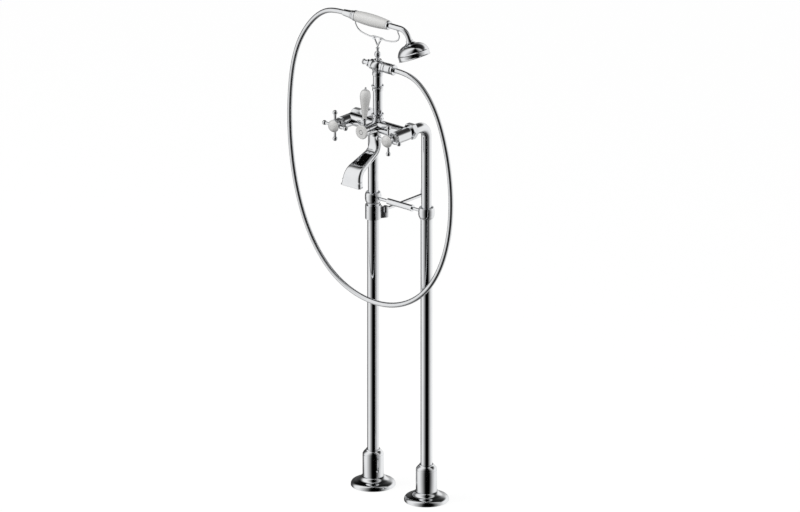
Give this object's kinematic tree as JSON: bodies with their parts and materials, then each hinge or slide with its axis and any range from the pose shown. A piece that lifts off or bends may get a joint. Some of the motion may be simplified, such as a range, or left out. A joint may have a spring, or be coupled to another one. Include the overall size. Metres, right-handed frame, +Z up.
{
  "type": "floor standing bath filler",
  "caption": "Floor standing bath filler: two floor pipes carry a mixer with cross handles, a diverter lever, a swivel spout and a cradled hand shower on a hose.",
  "frame": {"origin": "on the floor, midway between the two pipes", "axes": "+X from the hot pipe to the cold pipe, +Y towards the wall, -Y towards the bath, +Z up"},
  "size_m": [0.4646, 0.3205, 1.0965],
  "materials": {
    "chrome": "polished",
    "hose_skin": "bright polished metal skin",
    "porcelain": "gloss glaze",
    "cast_brass": "as cast",
    "plain_brass": "machined",
    "seal_rubber": "matte",
    "screw_steel": "machined"
  },
  "bodies": {
    "stand": {"cold_bonnet": "chrome", "cold_floor_plate": "cast_brass", "cold_foot_collar": "chrome", "cold_foot_cover": "chrome", "cold_lower_pipe": "chrome", "cold_pipe_joint": "chrome", "cold_union_nut": "chrome", "cold_upper_pipe": "chrome", "cold_valve": "plain_brass", "diverter_cartridge": "chrome", "hot_bonnet": "chrome", "hot_floor_plate": "cast_brass", "hot_foot_collar": "chrome", "hot_foot_cover": "chrome", "hot_lower_pipe": "chrome", "hot_pipe_joint": "chrome", "hot_union_nut": "chrome", "hot_upper_pipe": "chrome", "hot_valve": "plain_brass", "mixer_body": "chrome", "riser_base_ring": "chrome", "riser_pipe": "chrome", "riser_top_ring": "chrome", "spreader_lock_ring": "chrome", "spreader_studs": "chrome", "spreader_tube": "chrome", "stay_clamp": "chrome", "stay_pivot_screw": "screw_steel", "union_washers": "seal_rubber"},
    "wall_stay": {"stay_arm": "chrome", "stay_pad": "chrome"},
    "hot_handle": {"hot_cross_handle": "chrome", "hot_handle_dome": "porcelain", "hot_spindle": "plain_brass"},
    "cold_handle": {"cold_cross_handle": "chrome", "cold_handle_dome": "porcelain", "cold_spindle": "plain_brass"},
    "diverter_lever": {"lever_hub": "chrome", "diverter_spindle": "plain_brass", "lever_ferrule": "chrome", "lever_grip": "porcelain", "lever_finial": "chrome", "index_disc": "porcelain"},
    "swivel_spout": {"spout": "chrome", "spout_orings": "seal_rubber"},
    "shower_head_support": {"shower_tee": "chrome", "tee_plug": "chrome", "hose_outlet_nut": "chrome", "cradle_stem": "chrome", "cradle_fork": "chrome", "shower_hose": "hose_skin"},
    "handset": {"handset_grip": "porcelain", "handset_tube": "plain_brass", "front_ferrule": "chrome", "rear_ferrule": "chrome", "handset_hose_nut": "chrome", "handset_neck": "chrome", "rose_bell": "chrome", "rose_face": "chrome", "hanging_wire": "chrome"}
  },
  "joints": [
    {"name": "hot_handle_turn", "type": "hinge", "parent": "stand", "child": "hot_handle", "pos_m": [-0.075, -0.124, 0.8457], "axis": [0, -1, 0], "range_deg": [0, 90]},
    {"name": "cold_handle_turn", "type": "hinge", "parent": "stand", "child": "cold_handle", "pos_m": [0.075, -0.124, 0.8457], "axis": [0, -1, 0], "range_deg": [-90, 0]},
    {"name": "diverter_turn", "type": "hinge", "parent": "stand", "child": "diverter_lever", "pos_m": [0, -0.1165, 0.848], "axis": [0, -1, 0], "range_deg": [-45, 45]},
    {"name": "spout_swivel", "type": "hinge", "parent": "stand", "child": "swivel_spout", "pos_m": [0, -0.08, 0.83], "axis": [0, 0, 1], "range_deg": [-60, 60]},
    {"name": "tee_swivel", "type": "hinge", "parent": "stand", "child": "shower_head_support", "pos_m": [0, -0.072, 0.965], "axis": [0, 0, 1], "range_deg": [-30, 30]},
    {"name": "handset_lift", "type": "slide", "parent": "shower_head_support", "child": "handset", "axis": [0, 0, 1], "range_m": [0, 0.06]},
    {"name": "stay_swing", "type": "hinge", "parent": "stand", "child": "wall_stay", "pos_m": [-0.06058, 0.024, 0.6205], "axis": [0, 0, 1], "range_deg": [-20, 20]}
  ]
}
